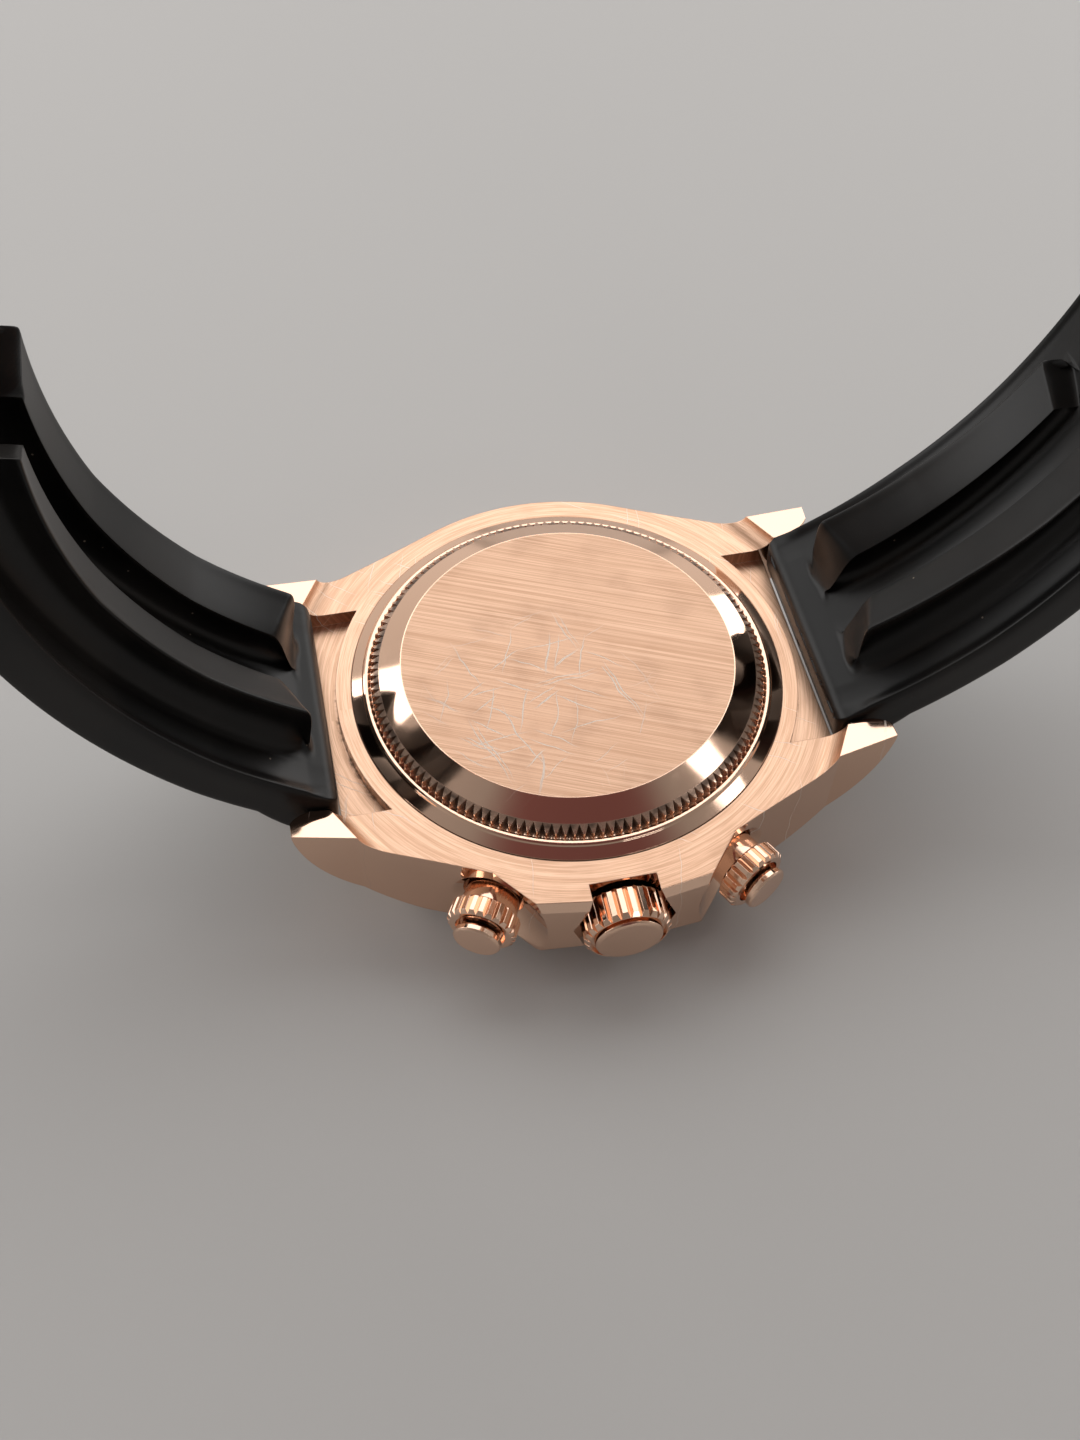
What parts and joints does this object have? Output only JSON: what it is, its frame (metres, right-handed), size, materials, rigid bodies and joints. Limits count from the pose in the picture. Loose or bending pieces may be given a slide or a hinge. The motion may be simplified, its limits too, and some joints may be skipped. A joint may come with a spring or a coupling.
{
  "type": "chronograph wristwatch",
  "caption": "Chronograph wristwatch lying face down, with a fluted screw-down case back, screw-down crown and pushers, a moulded rubber strap and an open folding clasp.",
  "frame": {"origin": "centre of the crystal's flat outer face, on which the watch lies", "axes": "+Z out of the case back, -Y along the crown, -X towards the strap half at 12 o'clock"},
  "size_m": [0.0886, 0.0423, 0.1],
  "materials": {
    "case_gold": "satin",
    "back_gold": "satin",
    "bezel_gold": "polished",
    "crown_gold": "polished",
    "clasp_gold": "satin",
    "marker_gold": "polished",
    "insert_ceramic": "gloss",
    "crystal_glass": "polished",
    "dial_paint": "satin",
    "strap_rubber": "matte",
    "gasket_rubber": "matte",
    "pin_steel": "satin",
    "spring_steel": "satin",
    "plate_steel": "satin",
    "screw_steel": "polished",
    "wheel_brass": "satin",
    "jewel_red": "gloss"
  },
  "bodies": {
    "case": {"mid_case": "case_gold", "bezel": "bezel_gold", "bezel_insert": "insert_ceramic", "crystal": "crystal_glass", "crystal_gasket": "gasket_rubber", "inner_flange": "dial_paint", "dial": "dial_paint", "hour_markers": "marker_gold", "sub_dial_rings": "marker_gold", "main_plate": "plate_steel", "casing_ring": "plate_steel", "train_bridge": "plate_steel", "balance_bridge": "plate_steel", "bridge_screws": "screw_steel", "bridge_jewels": "jewel_red", "rotor_bearing": "plate_steel", "barrel_arbor": "plate_steel", "crown_tube": "pin_steel", "upper_pusher_tube": "pin_steel", "lower_pusher_tube": "pin_steel", "lug_bar_12": "pin_steel", "lug_bar_6": "pin_steel", "case_back_gasket": "gasket_rubber"},
    "case_back": {"case_back": "back_gold"},
    "stem": {"winding_stem": "pin_steel"},
    "crown": {"crown": "crown_gold", "crown_gasket": "gasket_rubber"},
    "upper_collar": {"upper_pusher_collar": "crown_gold"},
    "lower_collar": {"lower_pusher_collar": "crown_gold"},
    "upper_button": {"upper_pusher_button": "crown_gold"},
    "lower_button": {"lower_pusher_button": "crown_gold"},
    "running_seconds": {"running_seconds_hand": "marker_gold", "fourth_wheel": "wheel_brass"},
    "minute": {"minute_hand": "marker_gold", "centre_wheel": "wheel_brass"},
    "hour": {"hour_hand": "marker_gold"},
    "third": {"third_wheel": "wheel_brass"},
    "escape": {"escape_wheel": "screw_steel"},
    "barrel": {"barrel": "wheel_brass", "mainspring": "spring_steel"},
    "pallet": {"pallet_fork": "screw_steel"},
    "balance": {"balance_wheel": "wheel_brass", "hairspring": "spring_steel"},
    "chrono_seconds": {"chrono_seconds_hand": "marker_gold"},
    "minute_counter": {"minute_counter_hand": "marker_gold"},
    "hour_counter": {"hour_counter_hand": "marker_gold"},
    "rotor": {"rotor": "wheel_brass"},
    "strap_12": {"strap_12": "strap_rubber", "strap_12_blade": "spring_steel", "clasp_bar_12": "pin_steel"},
    "strap_6": {"strap_6": "strap_rubber", "strap_6_blade": "spring_steel", "clasp_bar_6": "pin_steel"},
    "clasp_inner": {"clasp_inner_blade": "clasp_gold"},
    "clasp_outer": {"clasp_outer_blade": "clasp_gold", "fold_pin": "pin_steel"},
    "clasp_cover": {"clasp_cover": "clasp_gold", "cover_pin": "pin_steel", "catch_pin": "pin_steel"},
    "catch": {"safety_catch": "clasp_gold"}
  },
  "joints": [
    {"name": "case_back_turn", "type": "hinge", "parent": "case", "child": "case_back", "pos_m": [0, 0, 0.011], "axis": [0, 0, 1], "range_deg": [0, 1080]},
    {"name": "crown_pull", "type": "slide", "parent": "case", "child": "stem", "axis": [0, -1, 0], "range_m": [0, 0.0015]},
    {"name": "crown_turn", "type": "hinge", "parent": "stem", "child": "crown", "pos_m": [0, -0.02, 0.006], "axis": [0, -1, 0], "continuous": true},
    {"name": "upper_collar_turn", "type": "hinge", "parent": "case", "child": "upper_collar", "pos_m": [0, 0, 0.006], "axis": [-0.4848, -0.8746, 0], "range_deg": [0, 360]},
    {"name": "lower_collar_turn", "type": "hinge", "parent": "case", "child": "lower_collar", "pos_m": [0, 0, 0.006], "axis": [0.4848, -0.8746, 0], "range_deg": [0, 360]},
    {"name": "upper_push", "type": "slide", "parent": "case", "child": "upper_button", "axis": [0.4848, 0.8746, 0], "range_m": [0, 0.0008], "stiffness_N_per_m": 200},
    {"name": "lower_push", "type": "slide", "parent": "case", "child": "lower_button", "axis": [-0.4848, 0.8746, 0], "range_m": [0, 0.0008], "stiffness_N_per_m": 200},
    {"name": "running_seconds_turn", "type": "hinge", "parent": "case", "child": "running_seconds", "pos_m": [0.0075, 0, 0.005], "axis": [0, 0, 1], "continuous": true},
    {"name": "minute_turn", "type": "hinge", "parent": "case", "child": "minute", "pos_m": [0, 0, 0.004], "axis": [0, 0, 1], "continuous": true},
    {"name": "hour_turn", "type": "hinge", "parent": "case", "child": "hour", "pos_m": [0, 0, 0.004], "axis": [0, 0, 1], "continuous": true},
    {"name": "third_turn", "type": "hinge", "parent": "case", "child": "third", "pos_m": [0.0039, 0.0026, 0.006], "axis": [0, 0, 1], "continuous": true},
    {"name": "escape_turn", "type": "hinge", "parent": "case", "child": "escape", "pos_m": [0.0093, -0.00231, 0.006], "axis": [0, 0, 1], "continuous": true},
    {"name": "barrel_turn", "type": "hinge", "parent": "case", "child": "barrel", "pos_m": [-0.0064, 0.001, 0.006], "axis": [0, 0, 1], "continuous": true},
    {"name": "pallet_swing", "type": "hinge", "parent": "case", "child": "pallet", "pos_m": [0.0092, -0.00495, 0.006], "axis": [0, 0, 1], "range_deg": [-5, 5]},
    {"name": "balance_swing", "type": "hinge", "parent": "case", "child": "balance", "pos_m": [0.0079, -0.0079, 0.007], "axis": [0, 0, 1], "range_deg": [-270, 270], "stiffness_Nm_per_rad": 0.00000013},
    {"name": "chrono_seconds_turn", "type": "hinge", "parent": "case", "child": "chrono_seconds", "pos_m": [0, 0, 0.003], "axis": [0, 0, 1], "continuous": true},
    {"name": "minute_counter_turn", "type": "hinge", "parent": "case", "child": "minute_counter", "pos_m": [0, -0.0075, 0.0033], "axis": [0, 0, 1], "continuous": true},
    {"name": "hour_counter_turn", "type": "hinge", "parent": "case", "child": "hour_counter", "pos_m": [0, 0.0075, 0.0033], "axis": [0, 0, 1], "continuous": true},
    {"name": "rotor_turn", "type": "hinge", "parent": "case", "child": "rotor", "pos_m": [0, 0, 0.009], "axis": [0, 0, 1], "continuous": true},
    {"name": "strap_12_hinge", "type": "hinge", "parent": "case", "child": "strap_12", "pos_m": [-0.0219, 0, 0.0093], "axis": [0, -1, 0], "range_deg": [0, 40]},
    {"name": "strap_6_hinge", "type": "hinge", "parent": "case", "child": "strap_6", "pos_m": [0.0219, 0, 0.0093], "axis": [0, 1, 0], "range_deg": [0, 40]},
    {"name": "clasp_swivel", "type": "hinge", "parent": "strap_6", "child": "clasp_inner", "pos_m": [0.04268, 0, 0.06445], "axis": [0, 1, 0], "range_deg": [0, 30]},
    {"name": "clasp_fold", "type": "hinge", "parent": "clasp_inner", "child": "clasp_outer", "pos_m": [0.01756, 0, 0.08044], "axis": [0, 1, 0], "range_deg": [0, 174.46]},
    {"name": "cover_turn", "type": "hinge", "parent": "clasp_outer", "child": "clasp_cover", "pos_m": [-0.00887, 0, 0.09727], "axis": [0, 1, 0], "range_deg": [-104.44, 0]},
    {"name": "catch_turn", "type": "hinge", "parent": "clasp_cover", "child": "catch", "pos_m": [-0.02508, 0, 0.09132], "axis": [0, 1, 0], "range_deg": [0, 100]}
  ],
  "couplings": [
    {"joint": "minute_turn", "follows": "running_seconds_turn", "ratio": 0.016667},
    {"joint": "hour_turn", "follows": "running_seconds_turn", "ratio": 0.0013889},
    {"joint": "third_turn", "follows": "running_seconds_turn", "ratio": -0.125},
    {"joint": "escape_turn", "follows": "running_seconds_turn", "ratio": -12},
    {"joint": "barrel_turn", "follows": "running_seconds_turn", "ratio": -0.0022222},
    {"joint": "minute_counter_turn", "follows": "chrono_seconds_turn", "ratio": 0.033333},
    {"joint": "hour_counter_turn", "follows": "chrono_seconds_turn", "ratio": 0.0013889},
    {"joint": "cover_turn", "follows": "clasp_fold", "ratio": -0.59865}
  ]
}
